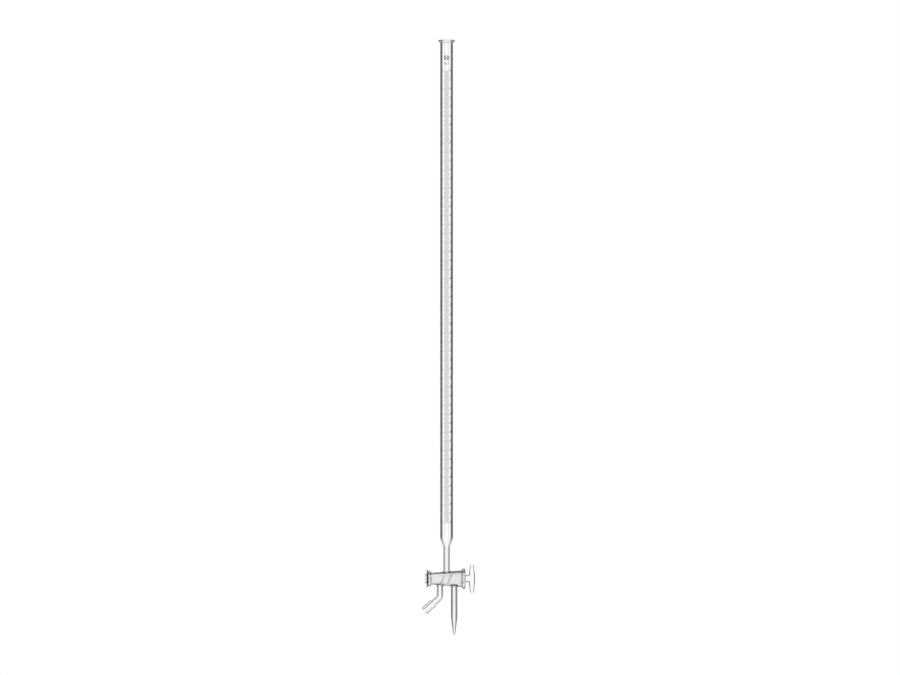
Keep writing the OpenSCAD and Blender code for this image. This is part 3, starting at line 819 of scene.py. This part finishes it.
def studio_world():
    """White behind the object, plain light on it, and for the glass to see, dark gaps and a dark ceiling."""
    gaps, gap_light, ceiling_light, plain_light = 4.0, 0.06, 0.1, 0.65
    floor_edge, gap_edge, ceiling_edge = (-0.24, -0.17), (-0.6, -0.1), (0.5, 0.75)
    sky = bpy.data.worlds.new("studio")
    bpy.context.scene.world = sky
    sky.use_nodes = True
    sky.node_tree.nodes.clear()
    n = Nodes(sky.node_tree)
    way = n.add("ShaderNodeSeparateXYZ", {0: n.add("ShaderNodeTexCoord").outputs["Generated"]}).outputs
    wave = n.math("COSINE", n.math("MULTIPLY", n.math("ARCTAN2", way[0], way[1]), gaps))
    wall = n.blend(n.ramp(way[2], *floor_edge), 1.0, n.ramp(wave, *gap_edge, gap_light, 1.0))
    ceiling = n.ramp(way[2], *ceiling_edge, 1.0, ceiling_light)
    studio = n.math("MULTIPLY", wall, ceiling)
    path = n.add("ShaderNodeLightPath").outputs
    in_glass = n.math("MAXIMUM", path["Is Glossy Ray"], path["Is Transmission Ray"])
    light = n.blend(path["Is Camera Ray"], n.blend(in_glass, plain_light, studio), 1.0)
    shade = n.add("ShaderNodeBackground", {"Color": WHITE, "Strength": light})
    n.add("ShaderNodeOutputWorld", {0: shade.outputs[0]})


def soft_lamp(name, place, power):
    """A broad lamp aimed at the burette."""
    light = bpy.data.lights.new(name, "AREA")
    light.shape = "DISK"
    light.size = LAMP_SIZE
    light.energy = power
    lamp = add_object(name, light)
    lamp.location = place
    lamp.rotation_euler = (LAMP_AIM - Vector(place)).to_track_quat("-Z", "Y").to_euler()
    lamp.visible_camera = False


def pale_floor():
    """A pale floor a little below the jet. Glass looks past it at the studio."""
    bm = bmesh.new()
    bmesh.ops.create_circle(bm, cap_ends=True, radius=FLOOR_R, segments=FLOOR_SIDES)
    bmesh.ops.translate(bm, verts=bm.verts, vec=(0, 0, cad_bounds[0][2] - FLOOR_GAP))
    mesh = bpy.data.meshes.new("floor")
    bm.to_mesh(mesh)
    bm.free()
    floor = add_object("floor", mesh)
    floor.visible_transmission = False
    floor.visible_glossy = False
    material, n = new_material("floor_paper")
    mottled = n.tint(n.noise(n.place(), scale=6.0), (0.84, 0.84, 0.84, 1), (0.88, 0.88, 0.88, 1))
    paper = n.add("ShaderNodeBsdfDiffuse", {"Color": mottled})
    white = n.add("ShaderNodeEmission", {"Color": WHITE, "Strength": 1.0})
    seen = n.math("MULTIPLY", n.add("ShaderNodeLightPath").outputs["Is Camera Ray"], FLOOR_WHITE)
    surface = n.add("ShaderNodeMixShader", {0: seen, 1: paper.outputs[0], 2: white.outputs[0]})
    n.add("ShaderNodeOutputMaterial", {0: surface.outputs[0]})
    floor.data.materials.append(material)


def level_camera():
    """Level and square to the scale, as the drawing is, with the object as tall in the picture as there."""
    rim_row, tip_row, axis_column = 39.7, 634.5, 446.6
    columns, rows = 900, 675
    distance, farthest = 2, 20
    tip, rim = cad_bounds[0][2], cad_bounds[1][2]
    per_px = (rim - tip) / (tip_row - rim_row)
    lens = bpy.data.cameras.new("camera")
    lens.type = "ORTHO"
    lens.ortho_scale = columns * per_px
    lens.clip_end = farthest
    camera = add_object("camera", lens)
    aside, down = (columns / 2 - axis_column) * per_px, (rows / 2 - rim_row) * per_px
    camera.location = (aside, -distance, rim - down)
    camera.rotation_euler = (math.pi / 2, 0, 0)
    bpy.context.scene.camera = camera


def dress(piece, body, nodes, material=None):
    """Gives a piece its material, its body and the CAD nodes that it stands for."""
    if material:
        piece.data.materials.append(material)
    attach(piece, body)
    if nodes:
        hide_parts(*nodes)


bpy.context.scene.view_settings.view_transform = "Standard"
level_camera()
studio_world()
pale_floor()
soft_lamp("key_lamp", place=(-0.9, -1.3, 1.8), power=16)
soft_lamp("fill_lamp", place=(1.5, -0.8, 1.4), power=7)

zones = ground_zone_group()
dress(glass_body(), "glass_body",
      ["rim_bead", "graduated_tube", "tube_shoulder", "inlet_stem", "stopcock_barrel", "handle_end_bead",
       "tail_end_bead", "filling_arm", "hose_nozzle", "outlet_stem", "jet_tip"],
      glass("body_glass", zones, frost=0.06, edge_shade_start=0.3, edge_shade_end=0.6))
dress(glass_key(), "key", ["key_cone", "key_handle", "key_tail"],
      glass("key_glass", zones, frost=0.1, edge_shade_start=0.25, edge_shade_end=0.5))
dress(rubber_disc(), "key", ["retaining_disc"],
      coated("moulded_rubber", dark=(0.012, 0.012, 0.013, 1), pale=(0.035, 0.035, 0.037, 1),
             patch_scale=160.0, rough=(0.5, 0.7), grain_scale=2500.0, grain_depth=0.00003))
fired = coated("fired_enamel", dark=(0.014, 0.014, 0.016, 1), pale=(0.05, 0.05, 0.055, 1),
               patch_scale=900.0, rough=(0.35, 0.5), grain_scale=3000.0, grain_depth=0.00001)
for marks, node in enamel_marks(fired):
    dress(marks, "glass_body", [node] if node else [])
